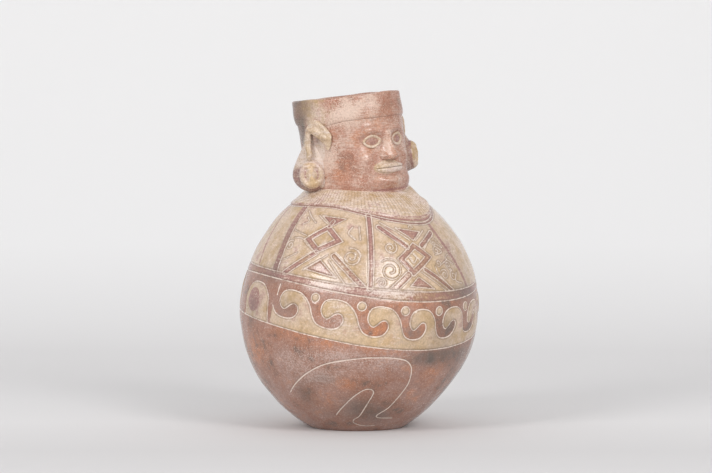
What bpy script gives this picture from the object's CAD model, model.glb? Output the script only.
# Effigy jar, dressed: burnished slip, incised and painted tunic, and a modelled head for a neck.
# Lengths are in mm and angles in degrees until a mesh is made, which is in metres.
# An angle runs round the jar from the middle of the face (-Y) towards the figure's left (+X).

import math

import bpy
import numpy as np
from mathutils import Matrix, Vector


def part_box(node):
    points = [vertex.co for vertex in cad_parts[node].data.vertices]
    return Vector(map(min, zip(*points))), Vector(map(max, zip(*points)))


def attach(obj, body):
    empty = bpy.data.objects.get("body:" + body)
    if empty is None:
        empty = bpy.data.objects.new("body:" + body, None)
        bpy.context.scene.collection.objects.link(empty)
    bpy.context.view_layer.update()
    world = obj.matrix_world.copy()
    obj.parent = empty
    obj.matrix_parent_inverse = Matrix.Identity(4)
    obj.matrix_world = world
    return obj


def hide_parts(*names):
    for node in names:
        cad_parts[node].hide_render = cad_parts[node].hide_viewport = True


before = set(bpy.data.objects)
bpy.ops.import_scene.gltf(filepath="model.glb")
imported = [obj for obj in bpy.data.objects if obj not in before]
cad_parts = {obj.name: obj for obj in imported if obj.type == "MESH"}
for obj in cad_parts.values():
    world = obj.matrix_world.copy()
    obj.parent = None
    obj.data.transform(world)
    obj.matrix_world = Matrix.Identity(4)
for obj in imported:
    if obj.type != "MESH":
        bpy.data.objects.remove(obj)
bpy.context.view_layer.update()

MM = 0.001
TAU = 2 * math.pi


def top_corner(node):
    return np.array(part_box(node)[1]) / MM


# Body, with the outline of the solids. It sways a little: amount, height, spread.
BODY_RADIUS, _, EQUATOR_Z = top_corner("lower_body")
SLAB_TOP = top_corner("base_slab")[2]
BASE_RADIUS = 29
FOOT_ANGLE, FOOT_PULL = 26, 4
BELLY_PULL, SHOULDER_PULL = 48, 28
CROWN_RADIUS, CROWN_Z = 22, 149.4
CROWN_ANGLE, CROWN_PULL = 10, 30
BODY_WALL = 5
SWAY_ANGLE = 50
SWAYS = [(1.5, 105, 30), (-1.4, 18, 22)]

# Coils on the inside, pressed down by finger marks.
COIL_GAP, COIL_EDGE, SLIP_JOINT = 0.6, 0.6, 0.3
BASE_COIL = 9
SEAM_COIL_WIDTH, SEAM_COIL_BULGE = 14, 3
FINGER_DENT, SEAM_DENTS, BASE_DENTS, NECK_DENTS = 0.35, 26, 18, 15
NECK_COIL_DEPTH, NECK_COIL_RISE, NECK_COIL_BULGE = 9, 6, 2.2
STRIP_WIDTH, STRIP_BULGE, STRIP_TO_RIM = 12, 2, 9

# Head, as in the solids, but for a swelling of its upper part and a stronger corner at the rim.
HEAD_HALF_WIDTH, HEAD_HALF_DEPTH, HEAD_HEIGHT = 31.5, 32, 60.8
HEAD_WALL = 5
HEAD_LEAN, HEAD_LEANS_TOWARD = 6.5, -130
RIM_FLARE, RIM_ROUND = -1.2, 0.8
CORNER_ANGLE, CORNER_SPREAD, CORNER_PULL = -128, 34, 2.2
CORNER_FOOT_Z, CORNER_TOP_Z = 38, 55
HEAD_SWELL, SWELL_FOOT_Z, SWELL_TOP_Z = 0.6, 18, 40
RIM_DROP, RIM_WAVES = 0.35, [(0.3, 3, 1), (0.2, 7, 0)]
HEADBAND_Z, HEADBAND_THICKNESS, HEADBAND_EDGE = 44.3, 1.0, 5
BAND_DIP, BAND_DIP_ANGLE, BAND_FLAT, BAND_FLAT_ANGLE, BAND_SPREAD = 2.4, 78, 0.6, 84, 20
BAND_TOP_DROP, BAND_TOP_ROUND, BAND_SEAT = 1.1, 1.4, 0.5

# The face's canon: three equal thirds in height, five eye widths across.
CHIN_Z, THIRD, EYE_WIDTH = 3, 16.5, 10
NOSE_BASE_Z = CHIN_Z + THIRD
BROW_Z = CHIN_Z + 2 * THIRD
EYE_Z = BROW_Z - EYE_WIDTH / 2
MOUTH_Z = NOSE_BASE_Z - THIRD / 3
EYE_HEIGHT, LID_WIDTH = 6.4, 1.4
EYEBALL_HALF_WIDTH, EYEBALL_HALF_HEIGHT, IRIS_RADIUS = 4.4, 2.8, 2.0
NOSE_HEIGHT, NOSE_FOOT_HALF, NOSE_TOP_HALF, TIP_RISE, TIP_ROUND = 7.4, 3.5, 2.4, 2.4, 3.4
WING_HEIGHT, WING_ASIDE, WING_RISE = 4.2, 4.3, 2.1
UPPER_LIP, LOWER_LIP, LIP_HEIGHT, BOW_SPREAD = 3.0, 3.4, 2.0, 1.6

# Ears and ear ornaments.
EAR_ANGLES = {"right": 95, "left": 86}
EAR_SPREADS = {"right": 15, "left": 9}
EAR_LEANS = {"right": 7.5, "left": 3}
EAR_FRONT_DROP, EAR_PROUD, EAR_UNDER_BAND, EAR_IN_SPOOL = 14, 1.2, 1.8, 1
EAR_HALF_WIDTHS = [1.9, 2.2, 2.7, 3.6, 3.2, 1.2]
SPOOL_RADIUS, SPOOL_FOOT_RADIUS, SPOOL_PROUD, SPOOL_FACING = 9.2, 11.6, 12, 44
SPOOL_FACE_SHAPE, SPOOL_FOOT_SHAPE, SPOOL_LOBE, SPOOL_FLARE = 0.87, 1.2, 6, 0.9
SPOOL_ANGLES = {"right": 98, "left": 78}
SPOOL_HEIGHTS = {"right": 14.8, "left": 19.1}
# The ornament's domed face, from its rim to its middle: how far in and how far back.
SPOOL_FACE = [
    (0, 4.6), (0.4, 3.3), (1.2, 2.0), (2.2, 1.1), (3.2, 0.7), (4.4, 0.6), (6, 0.3), (7.6, 0), (9.1, -0.1),
]
HOLLOW_RADIUS, HOLLOW_SPREAD, HOLLOW_DEPTH = 4.6, 1.7, 1.5

# Collar. On the figure's left it climbs the neck. Its inner edge reaches into the neck's wall.
COLLAR_THICKNESS, COLLAR_RISE, COLLAR_TILT = 1.0, 2.0, 1.8
CLIMB_ANGLE, CLIMB_SPREAD, COLLAR_CLIMB = 60, 36, 4.4
COLLAR_SEAT, CLIMB_SEAT = 1.5, 0.4
TICKS, TICK_COLUMNS, TICK_RADIUS = 118, 8, 40
TICK_DEPTH, TICK_WIDTH = 0.3, 0.5

# Drawing on the body: how far a line or an edge is felt, with a margin for that in the drawing plane,
# the incised line, and the lowered red grounds.
REACH, DRAWN_MARGIN = 3.0, 0.1
LINE_WIDTH, LINE_DEPTH = 0.66, 0.42
GROUND_DEPTH, GROUND_ABOVE_HEM = 0.3, 3

FIELDS = ("red", "plum", "cloud", "worn", "warm", "line")

rng = np.random.default_rng(11)


def smooth(low, high, x):
    share = np.clip((np.asarray(x, float) - low) / (high - low), 0, 1)
    return share * share * (3 - 2 * share)


def lerp(a, b, share):
    return a + (b - a) * share


def hump(x, centre, spread):
    return np.exp(-(((x - centre) / spread) ** 2))


def dome(x):
    return np.sqrt(np.clip(1 - x * x, 0, 1))


def turned(angles):
    return (np.asarray(angles) + 180) % 360 - 180


def shares(count):
    return np.linspace(0, 1, count)[:, None]


def full_turn(steps):
    return np.linspace(0, TAU, steps, endpoint=False)


def all_round(columns):
    return np.linspace(-180, 180, columns, endpoint=False)[None, :]


class Wobble:
    """Slow unevenness of a hand-built surface: a sum of waves in fixed random directions."""

    def __init__(self, wavelength, waves=7):
        self.vectors = rng.normal(size=(waves, 3)) * TAU / wavelength
        self.phases = rng.uniform(0, TAU, waves)

    def __call__(self, points):
        total = sum(np.sin(points @ v + p) for v, p in zip(self.vectors, self.phases))
        return total / math.sqrt(len(self.phases))


WOBBLES = {name: Wobble(wavelength) for name, wavelength in (("broad", 90), ("close", 22), ("fine", 7))}


def uneven(points, **amounts):
    return sum(amount * WOBBLES[name](points) for name, amount in amounts.items())


# Meshes.
def add_to_scene(name, data):
    made = bpy.data.objects.new(name, data)
    bpy.context.scene.collection.objects.link(made)
    return made


def quads(rows, columns, wrap_rows, wrap_columns):
    i = np.arange(rows if wrap_rows else rows - 1)[:, None]
    j = np.arange(columns if wrap_columns else columns - 1)[None, :]
    up, along = (i + 1) % rows, (j + 1) % columns
    corners = [i * columns + j, i * columns + along, up * columns + along, up * columns + j]
    return np.stack(np.broadcast_arrays(*corners), -1).reshape(-1, 4)


def piece(node, points, material, slot, wrap_rows=False, wrap_columns=True, fields=None, crease=50):
    """A closed piece over a grid of points in mm, which stands for a node of the same name."""
    rows, columns, _ = points.shape
    faces = quads(rows, columns, wrap_rows, wrap_columns).tolist()
    index = np.arange(rows * columns).reshape(rows, columns)
    if not wrap_rows:
        faces += [index[0, ::-1].tolist(), index[-1].tolist()]
    if not wrap_columns:
        faces += [index[:, 0].tolist(), index[::-1, -1].tolist()]
    mesh = bpy.data.meshes.new(node)
    mesh.from_pydata((points.reshape(-1, 3) * MM).tolist(), [], faces)
    for name, values in (fields or {}).items():
        attribute = mesh.attributes.new(name, "FLOAT", "POINT")
        attribute.data.foreach_set("value", np.ascontiguousarray(values, np.float32).ravel())
    mesh.shade_smooth()
    mesh.set_sharp_from_angle(angle=math.radians(crease))
    mesh.materials.append(material)
    made = add_to_scene("look_" + node, mesh)
    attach(made, "root")
    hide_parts(node)


# The body's outline and the plane that its tunic is drawn in.
def bezier(points, share):
    """A curve from the first point to the last, drawn towards those between."""
    points = [np.asarray(point, float) for point in points]
    while len(points) > 1:
        points = [lerp(a, b, share) for a, b in zip(points[:-1], points[1:])]
    return points[0]


OUTLINE_STEPS = 700
foot, crown = math.radians(FOOT_ANGLE), math.radians(CROWN_ANGLE)
belly = (BODY_RADIUS, EQUATOR_Z)
lower_outline = bezier([
    (BASE_RADIUS, 0),
    (BASE_RADIUS + FOOT_PULL * math.cos(foot), FOOT_PULL * math.sin(foot)),
    (BODY_RADIUS, EQUATOR_Z - BELLY_PULL),
    belly,
], shares(OUTLINE_STEPS))
upper_outline = bezier([
    belly,
    (BODY_RADIUS, EQUATOR_Z + SHOULDER_PULL),
    (CROWN_RADIUS + CROWN_PULL * math.cos(crown), CROWN_Z - CROWN_PULL * math.sin(crown)),
    (CROWN_RADIUS, CROWN_Z),
], shares(OUTLINE_STEPS))
outline = np.vstack([lower_outline, upper_outline[1:]])
outline_steps = np.hypot(*np.diff(outline, axis=0).T)
arc = np.concatenate([[0], np.cumsum(outline_steps)])
upper_arc = arc[len(lower_outline) - 1:]
seam_arc = upper_arc[0]
tangent = np.gradient(outline, arc, axis=0)
middle_radius = (outline[1:, 0] + outline[:-1, 0]) / 2
meridian = np.concatenate([[0], np.cumsum(outline_steps / middle_radius)])


def along_outline(s, depth=0):
    """Radius and height at a distance along the outline, at a depth under the skin."""
    r, z = (np.interp(s, arc, outline[:, k]) for k in (0, 1))
    dr, dz = (np.interp(s, arc, tangent[:, k]) for k in (0, 1))
    return r - dz * depth, z + dr * depth


def arc_at_height(z):
    return np.interp(z, outline[:, 1], arc)


def arc_at_shoulder(radius):
    return np.interp(-radius, -upper_outline[:, 0], upper_arc)


def shoulder_height(radius):
    return np.interp(radius, upper_outline[::-1, 0], upper_outline[::-1, 1])


def drawn(angle, z):
    """Points of the drawing plane, in which small shapes keep their form on the curved body."""
    angle, z = np.broadcast_arrays(np.asarray(angle, float), np.asarray(z, float))
    return np.stack([np.radians(angle), np.interp(z, outline[:, 1], meridian)], -1)


def around(radius, angle, z):
    turn = np.radians(angle)
    parts = np.broadcast_arrays(radius * np.sin(turn), -radius * np.cos(turn), z)
    return np.stack(parts, -1).astype(float)


def swayed(points):
    """Leans points of the body to one side at the shoulder and to the other at the foot."""
    shift = sum(amount * hump(points[..., 2:], z, spread) for amount, z, spread in SWAYS)
    return points + shift * around(1, SWAY_ANGLE, 0)


class Canvas:
    """Fields drawn on the body: distance to the nearest incised line, and depth inside each colour."""

    def __init__(self, angles, arcs):
        self.angles, self.rows = np.radians(angles), np.interp(arcs, arc, meridian)
        self.radius, self.z = along_outline(arcs)
        shape = (len(arcs), len(angles))
        self.line = np.full(shape, REACH)
        self.colours = {name: np.full(shape, -REACH) for name in ("red", "plum")}

    def copies(self, path):
        """The path where it meets the grid, a whole turn off too, and the part of the grid near it."""
        for shift in (-TAU, 0, TAU):
            moved = path + np.array([shift, 0])
            ends = np.stack([moved.min(0) - DRAWN_MARGIN, moved.max(0) + DRAWN_MARGIN])
            rows = slice(*np.searchsorted(self.rows, ends[:, 1]))
            columns = slice(*np.searchsorted(self.angles, ends[:, 0]))
            if rows.start < rows.stop and columns.start < columns.stop:
                yield moved, (rows, columns)

    def places(self, at):
        return self.angles[at[1]][None, :], self.rows[at[0]][:, None]

    def distance(self, path, at):
        x, y = self.places(at)
        nearest = np.inf
        for (ax, ay), (bx, by) in zip(path[:-1], path[1:]):
            dx, dy = bx - ax, by - ay
            share = np.clip(((x - ax) * dx + (y - ay) * dy) / (dx * dx + dy * dy + 1e-12), 0, 1)
            nearest = np.minimum(nearest, np.hypot(x - ax - share * dx, y - ay - share * dy))
        return nearest * self.radius[at[0]][:, None]

    def inside(self, path, at):
        x, y = self.places(at)
        within = np.zeros((y.size, x.size), bool)
        for (ax, ay), (bx, by) in zip(path, np.roll(path, -1, axis=0)):
            crosses = (ay > y) != (by > y)
            within ^= crosses & (x < ax + (y - ay) * (bx - ax) / (by - ay + 1e-12))
        return within

    def engrave(self, at, distance):
        self.line[at] = np.minimum(self.line[at], np.abs(distance))

    def paint(self, at, colour, depth):
        self.colours[colour][at] = np.maximum(self.colours[colour][at], depth)

    def incise(self, path):
        for moved, at in self.copies(path):
            self.engrave(at, self.distance(moved, at))

    def stripe(self, path, width, incised=False):
        for moved, at in self.copies(path):
            depth = width / 2 - self.distance(moved, at)
            self.paint(at, "plum", depth)
            if incised:
                self.engrave(at, depth)

    def area(self, path, colour=None, incised=True, frame_width=None, erase=None):
        for moved, at in self.copies(np.vstack([path, path[:1]])):
            edge = self.distance(moved, at)
            depth = np.where(self.inside(moved[:-1], at), edge, -edge)
            if incised:
                self.engrave(at, depth)
            if frame_width:
                self.engrave(at, depth - frame_width)
                depth = np.minimum(depth, frame_width - depth)
            if colour:
                self.paint(at, colour, depth)
            if erase:
                self.colours[erase][at] = np.minimum(self.colours[erase][at], -depth)


# The tunic's bands: each falls towards the front.
def falling(middle, fall, waist, lowest):
    def height(angle):
        turn = np.radians(np.asarray(angle, float) - lowest)
        return middle - fall * np.cos(turn) - waist * np.cos(2 * turn)
    return height


def bib(lowest, rise, middle=4, to_right=75, to_left=47):
    """An edge that dips like a bib under the chin and runs level round the back."""
    def height(angle):
        away = turned(np.asarray(angle, float) - middle)
        return lowest + rise * smooth(0, 1, np.maximum(away / to_left, -away / to_right))
    return height


band_top = falling(97.9, 7.8, 2.2, 2)
band_bottom = falling(93.0, 7.2, 3.7, -2)
hem = falling(66.5, 11.3, 2.8, -4)
collar_edge = bib(131.2, 8.4)
neckline = bib(128.6, 10.8)
ALL_ROUND = np.linspace(-180, 180, 181)

# Stripes between the panels of the chest, as angles at the neck and at the band, and their widths.
LEFT_STRIPE, LEFT_WIDTH = (-88.3, -89.5), 4.4
LEFT_STRIPE_LINE = (-85.9, -87.6)
MIDDLE_STRIPE, MIDDLE_WIDTH = (-33.6, -35.4), 3.2
SIDE_STRIPES, SIDE_WIDTH = [(75, 77), (128, 130), (180, 182), (-128, -124), (-113, -106)], 1.6
RIGHT_BORDER, RIGHT_WIDTH = [(10.5, 129.5), (12, 122), (15.5, 112), (18.5, 104), (23, 91)], 2.6
NECKLINE_WIDTH, COLLAR_SHADOW, SHADOW_DROP = 1.9, 1.6, 0.6

# The two chest panels, as angle and height: a framed diamond, arms (with a width), triangles and cut
# strokes. A curl has a place, a radius, a starting turn and a number of turns.
DIAMOND_FRAME = 3.5
LEFT_PANEL = dict(
    diamond=[(-60, 128.5), (-74.5, 120), (-65, 111.5), (-50, 118.5)],
    arms=[
        ((-65, 112), (-83.2, 98.4), 3.4), ((-54.5, 110), (-37.6, 90), 3.4), ((-58, 130.5), (-60, 127.5), 2.4),
    ],
    triangles=[[(-67.5, 134), (-58, 127.6), (-49, 131.8)], [(-62, 108), (-70, 102.4), (-52.5, 97.4)]],
    strokes=[
        [(-70, 134), (-61.5, 129)], [(-82, 136.5), (-70.5, 129.5)],
        [(-80.5, 128.5), (-76.5, 130.5), (-79.5, 133)], [(-85, 125), (-74, 122)],
        [(-74.5, 118.5), (-66.5, 113)], [(-85, 107.5), (-77, 111.5)], [(-57, 107.5), (-48, 94)],
        [(-58, 110.5), (-70.5, 101.5)], [(-82.5, 120.5), (-77, 120.4), (-72.5, 118)],
        [(-44.5, 127), (-47, 123.5), (-43, 119.5)], [(-40.5, 127), (-40, 119.5)],
    ],
    curls=[(-83.8, 116, 3.6, 60, 1.5), (-45, 109.4, 6.2, 100, -1.7)],
)
RIGHT_PANEL = dict(
    diamond=[(-9.2, 117.6), (-20.6, 108.3), (-13.2, 97.6), (0.6, 108.8)],
    arms=[
        ((-13.5, 115), (-28, 127), 3.2), ((-4, 115.6), (8, 123), 3.0),
        ((-15.8, 98.6), (-25.8, 88.2), 4.2), ((-6, 101.4), (11.9, 86.5), 2.6),
    ],
    triangles=[[(-17.5, 126.4), (-8.2, 118.8), (-1, 123.8)], [(-10.6, 97.2), (-15.4, 91.8), (-2, 89.6)]],
    strokes=[
        [(-10.5, 118.8), (-18, 124.8), (-27, 130)], [(-7, 118.6), (2, 124.5)], [(-8.5, 100), (6, 87.7)],
        [(7, 114.6), (9.7, 111.5), (3.5, 109.8)], [(1, 103), (2.2, 98), (7, 92.7)], [(5.5, 104), (12, 107)],
        [(8.5, 119), (11.5, 114), (8, 116)], [(-14, 109.5), (-12, 105.5), (-9.2, 108.5)],
        [(-11.2, 111), (-8.2, 107)], [(-3, 113.5), (2.5, 118.5), (8, 121)],
        [(14, 110), (11, 107.5), (16, 104)], [(16.5, 99), (14, 94), (19, 92)],
    ],
    curls=[
        (-23.5, 115, 4.4, 40, -1.5), (-25, 101.5, 7.8, 130, -1.6), (-29.7, 94, 3.4, 170, -1.2),
        (13, 97, 3.6, 90, 1.4), (5.4, 112.5, 3.0, 20, 1.3), (6.2, 98, 3.6, 160, -1.5),
        (3.8, 105, 2.6, 200, 1.2), (11, 103.4, 2.8, 300, -1.3), (-6.5, 126.5, 1.8, 0, 1.2),
        (6, 117, 2.2, 120, 1.2),
    ],
)

# One wave of the scroll border, from one trough's left side to the next: across its pitch, up its height.
WAVE = np.array([
    (0.00, 0.32), (0.10, 0.08), (0.32, 0.00), (0.55, 0.08), (0.67, 0.32), (0.65, 0.50), (0.58, 0.55),
    (0.50, 0.51), (0.41, 0.39), (0.33, 0.31), (0.25, 0.36), (0.20, 0.52), (0.22, 0.72), (0.29, 0.88),
    (0.43, 0.97), (0.60, 0.98), (0.75, 0.93), (0.87, 0.78), (0.95, 0.58),
])
WAVE_STARTS = [-86, -63, -40.2, -19.3, -0.7, 19.5]
WAVE_END, BACK_WAVES = 234, 11
WAVE_ABOVE_HEM, WAVE_UNDER_BAND = 6.5, 4.2
WAVE_TICK = [(-83, 92.8), (-83.8, 86)]
DOT_RADIUS, DOT_DROP, DOT_ASIDE = 2.7, 5.9, 1.2

# The arch in the border, the red ground that it stands on, and the oval in its middle.
ARCH_LEFT, ARCH_RIGHT, ARCH_DROP, ARCH_ROUND = -111, -89.5, 4.5, 8
GROUND_LEFT, GROUND_OVER_WAVE, GROUND_TO_WAVE = -126, 0.5, 1.5
OVAL_ANGLE, OVAL_HEIGHT_SHARE, OVAL_HALF_ANGLE, OVAL_HALF_HEIGHT = -101.75, 0.42, 5.6, 7.4

# Incised outline of the bent leg.
LEG_OUTER = [
    (-85.5, 25), (-75, 33.3), (-65.6, 40), (-55, 45.2), (-37, 48.6), (-19, 47.6), (-12, 43.5), (-9.5, 36),
    (-9.8, 28), (-15.4, 16.2), (-23.4, 9.6), (-7, 8),
]
LEG_INNER = [
    (-56.5, 10.9), (-47.5, 18.5), (-40.8, 24.6), (-34.2, 28.7), (-29.8, 26.8), (-31.9, 20), (-37.3, 10.8),
    (-42.6, 7.8), (-42.4, 5.4), (-33, 3.6), (-21.6, 3.6),
]


def spline(points, steps=8):
    """A smooth curve through points."""
    p = np.asarray(points, float)
    p = np.vstack([2 * p[0] - p[1], p, 2 * p[-1] - p[-2]])
    u = np.linspace(0, 1, steps, endpoint=False)[:, None]
    spans = [
        0.5 * (2 * b + (c - a) * u + (2 * a - 5 * b + 4 * c - d) * u**2 + (3 * b - a - 3 * c + d) * u**3)
        for a, b, c, d in zip(p[:-3], p[1:-2], p[2:-1], p[3:])
    ]
    return np.vstack([*spans, p[-2:-1]])


def path_of(points):
    return drawn(*np.array(points, float).T)


def level(height, drop=0):
    return drawn(ALL_ROUND, height(ALL_ROUND) - drop)


def upright(top, foot, steps=24):
    share = np.linspace(0, 1, steps)
    angle = lerp(foot, top, share)
    return drawn(angle, lerp(band_top(angle), neckline(angle), share))


def ring(angle, z, radius, turn):
    """Points at a radius in mm, and at a turn, round a place on the body."""
    reach = radius / np.interp(z, outline[:, 1], outline[:, 0])
    return drawn(angle, z) + np.stack([reach * np.cos(turn), reach * np.sin(turn)], -1)


def curl(angle, z, radius, start, turns):
    """A spiral that winds in to its middle; negative turns wind the other way."""
    share = np.linspace(0, 1, 26)
    return ring(angle, z, radius * (1 - 0.8 * share), np.radians(start) + TAU * turns * share)


def draw_panel(canvas, diamond, arms, triangles, strokes, curls):
    for start, end, width in arms:
        canvas.stripe(path_of([start, end]), width, incised=True)
    canvas.area(path_of(diamond), erase="plum")
    canvas.area(path_of(diamond), "plum", frame_width=DIAMOND_FRAME)
    for triangle in triangles:
        canvas.area(path_of(triangle), "plum")
    for stroke in strokes:
        canvas.incise(path_of(spline(stroke, 5)))
    for one in curls:
        canvas.incise(curl(*one))


def wave_heights(angle, up):
    return lerp(hem(angle) + WAVE_ABOVE_HEM, band_bottom(angle) - WAVE_UNDER_BAND, up)


def draw_waves(canvas):
    back = np.linspace(WAVE_STARTS[-1], WAVE_END, BACK_WAVES + 1)
    starts = np.concatenate([WAVE_STARTS[:-1], back])
    across, up = WAVE.T
    waves = [np.stack([lerp(start, end, across), up], -1) for start, end in zip(starts[:-1], starts[1:])]
    angle, up = spline(np.vstack(waves), 3).T
    crest = drawn(angle, wave_heights(angle, up))
    lid = np.linspace(angle[-1], angle[0], 90)
    canvas.area(np.vstack([crest, drawn(lid, band_bottom(lid))]), "red", incised=False)
    canvas.incise(crest)
    for angle in starts[1:-1] + DOT_ASIDE:
        canvas.area(ring(angle, band_bottom(angle) - DOT_DROP, DOT_RADIUS, full_turn(20)), erase="red")


def draw_arch(canvas):
    """The upright cream motif with a dark middle, on the red ground where the scroll border ends."""
    first = WAVE_STARTS[0]
    lid = np.linspace(GROUND_LEFT, first + GROUND_OVER_WAVE, 16)
    floor = np.linspace(first - GROUND_TO_WAVE, GROUND_LEFT, 16)
    trough = drawn(lid[-1:], wave_heights(first, WAVE[0, 1]))
    ground = np.vstack([drawn(lid, band_bottom(lid)), trough, drawn(floor, hem(floor))])
    canvas.area(ground, "red", incised=False)
    canvas.incise(path_of(WAVE_TICK))
    side = np.linspace(ARCH_LEFT, ARCH_RIGHT, 24)
    across = (side - ARCH_LEFT) / (ARCH_RIGHT - ARCH_LEFT) * 2 - 1
    top = band_bottom(side) - ARCH_DROP - ARCH_ROUND * np.abs(across) ** 3
    canvas.area(np.vstack([drawn(side, hem(side)), drawn(side, top)[::-1]]), erase="red")
    z = lerp(hem(OVAL_ANGLE), band_bottom(OVAL_ANGLE), OVAL_HEIGHT_SHARE)
    turn = full_turn(20)
    oval = drawn(OVAL_ANGLE + OVAL_HALF_ANGLE * np.cos(turn), z + OVAL_HALF_HEIGHT * np.sin(turn))
    canvas.area(oval, "plum", incised=False)


def draw_tunic(canvas):
    angles, z = np.degrees(canvas.angles)[None, :], canvas.z[:, None]
    for panel in (LEFT_PANEL, RIGHT_PANEL):
        draw_panel(canvas, **panel)
    # The band covers the ends of the panels' arms.
    over_band = z - band_top(angles)
    canvas.line = np.where(over_band > 0, canvas.line, REACH)
    on_chest = np.where(over_band > 0, canvas.colours["plum"], -REACH)
    band = np.minimum(z - band_bottom(angles), -over_band)
    canvas.colours["plum"] = np.maximum(on_chest, np.clip(band, -REACH, REACH))
    canvas.colours["red"] = np.clip(hem(angles) - z, -REACH, REACH)
    for height in (band_top, band_bottom, hem):
        canvas.incise(level(height))
    draw_waves(canvas)
    draw_arch(canvas)
    canvas.stripe(level(neckline), NECKLINE_WIDTH, incised=True)
    canvas.stripe(level(collar_edge, SHADOW_DROP), COLLAR_SHADOW)
    canvas.stripe(upright(*LEFT_STRIPE), LEFT_WIDTH)
    canvas.incise(upright(*LEFT_STRIPE_LINE))
    canvas.stripe(upright(*MIDDLE_STRIPE), MIDDLE_WIDTH, incised=True)
    canvas.stripe(path_of(spline(RIGHT_BORDER)), RIGHT_WIDTH)
    for stripe in SIDE_STRIPES:
        canvas.stripe(upright(*stripe), SIDE_WIDTH)
    for leg in (LEG_OUTER, LEG_INNER):
        canvas.incise(path_of(spline(leg, 6)))


# Soft spots of fire cloud, worn slip and orange slip: angle, height, spreads, strength.
BODY_SPOTS = {
    "cloud": [
        (2, 47.5, 14, 5.5, 1.0), (22, 47, 14, 8, 0.6), (60, 40, 26, 22, 0.45), (-73, 25, 7, 7, 0.6),
        (-60, 35, 10, 4, 0.35), (-22, 11, 16, 6, 0.6), (-38, 18, 10, 6, 0.4), (5, 65, 7, 8, 0.8),
        (27, 78, 9, 12, 0.2), (18, 86.5, 14, 4.5, 1.0), (-77, 80, 6, 7, 0.4), (-96, 98, 12, 6, 0.5),
        (-55, 12, 40, 8, 0.2), (-89, 116, 4, 20, 0.6), (-102, 78, 6, 8, 0.6), (-13, 63, 5, 6, 0.5),
        (-7, 47.5, 7, 4, 0.6), (150, 60, 50, 40, 0.35), (-30, 16, 20, 8, 0.15), (14, 108, 11, 14, 0.28),
        (24, 96, 10, 8, 0.25), (4, 126, 8, 8, 0.3),
    ],
    "worn": [
        (-54, 93, 14, 4, 1.0), (-24, 87, 14, 4, 0.8), (-26, 99, 9, 10, 0.9), (-50, 101, 12, 5, 0.6),
        (-75, 45, 12, 8, 0.6), (-54, 50, 16, 5, 0.6), (-26, 46, 22, 6, 0.5), (-60, 36, 12, 6, 0.7),
        (-50, 74, 9, 12, 0.6), (-80, 112, 14, 20, 0.3),
    ],
    "warm": [
        (-31, 66, 7, 9, 1.0), (-10, 70, 6, 9, 0.6), (-20, 84, 12, 5, 0.7), (6, 38, 7, 7, 0.9),
        (-106, 50, 12, 9, 0.9), (-48, 33, 8, 5, 0.8), (-54, 57, 9, 4, 0.6), (-62, 20, 10, 5, 0.5),
        (5, 92, 9, 4, 0.8), (-66, 63, 22, 6, 0.7), (-20, 57, 24, 6, 0.8), (-45, 78, 20, 7, 0.5),
        (-6, 108, 15, 16, 0.7), (0, 85, 16, 5, 0.6),
    ],
}
HEAD_SPOTS = {
    "cloud": [
        (-96, 57, 13, 7, 0.9), (-30, 42, 22, 5, 0.1), (-106, 52, 10, 10, 1.0), (-128, 50, 20, 16, 1.0),
        (-112, 38, 8, 10, 0.8), (-81, 35, 5, 4, 0.6), (180, 40, 40, 20, 0.5), (110, 50, 30, 14, 0.3),
    ],
    "worn": [
        (-84, 27, 16, 11, 1.0), (66, 30, 16, 11, 1.0), (-42, 52, 14, 9, 1.0), (-14, 52, 18, 8, 0.5),
        (-70, 52, 12, 8, 0.5), (-10, 28, 8, 8, 0.2), (-62, 26, 14, 8, 0.5), (-60, 46, 14, 6, 0.5),
        (-30, 12, 20, 8, 0.35), (25, 30, 14, 14, 0.35),
    ],
    "warm": [
        (-66, 36, 10, 4, 0.7), (-62, 14, 14, 8, 0.6), (0, 26, 5, 9, 0.8), (-15, 44, 22, 6, 0.6),
        (8, 6, 12, 6, 0.6),
    ],
}
# Cream slip on the head: by both ears and round the mouth.
HEAD_CREAM = [(-94, 29, 24, 15, 1.0), (76, 32, 24, 15, 1.0), (-4, 14.5, 27, 7.2, 0.72)]


def spots(table, angles, heights):
    total = sum(
        strength * hump(turned(angles - angle), 0, wide) * hump(heights, z, tall)
        for angle, z, wide, tall, strength in table
    )
    return np.clip(total, 0, 1)


def even_fields(shape, **values):
    """Fields that are the same all over a piece; those not named are zero."""
    return {name: np.full(shape, float(values.get(name, 0))) for name in FIELDS}


def coded(depth):
    """A depth inside a colour as a share, one half at its edge and nought out of reach."""
    return np.clip(0.5 + depth / (2 * REACH), 0, 1)


# Node trees.
class Wire:
    """A node's output, of which sums, differences and products are written as such."""

    def __init__(self, nodes, socket):
        self.nodes, self.socket = nodes, socket

    def __add__(self, other):
        return self.nodes.math("ADD", self, other)

    def __sub__(self, other):
        return self.nodes.math("SUBTRACT", self, other)

    def __mul__(self, other):
        return self.nodes.math("MULTIPLY", self, other)


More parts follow.
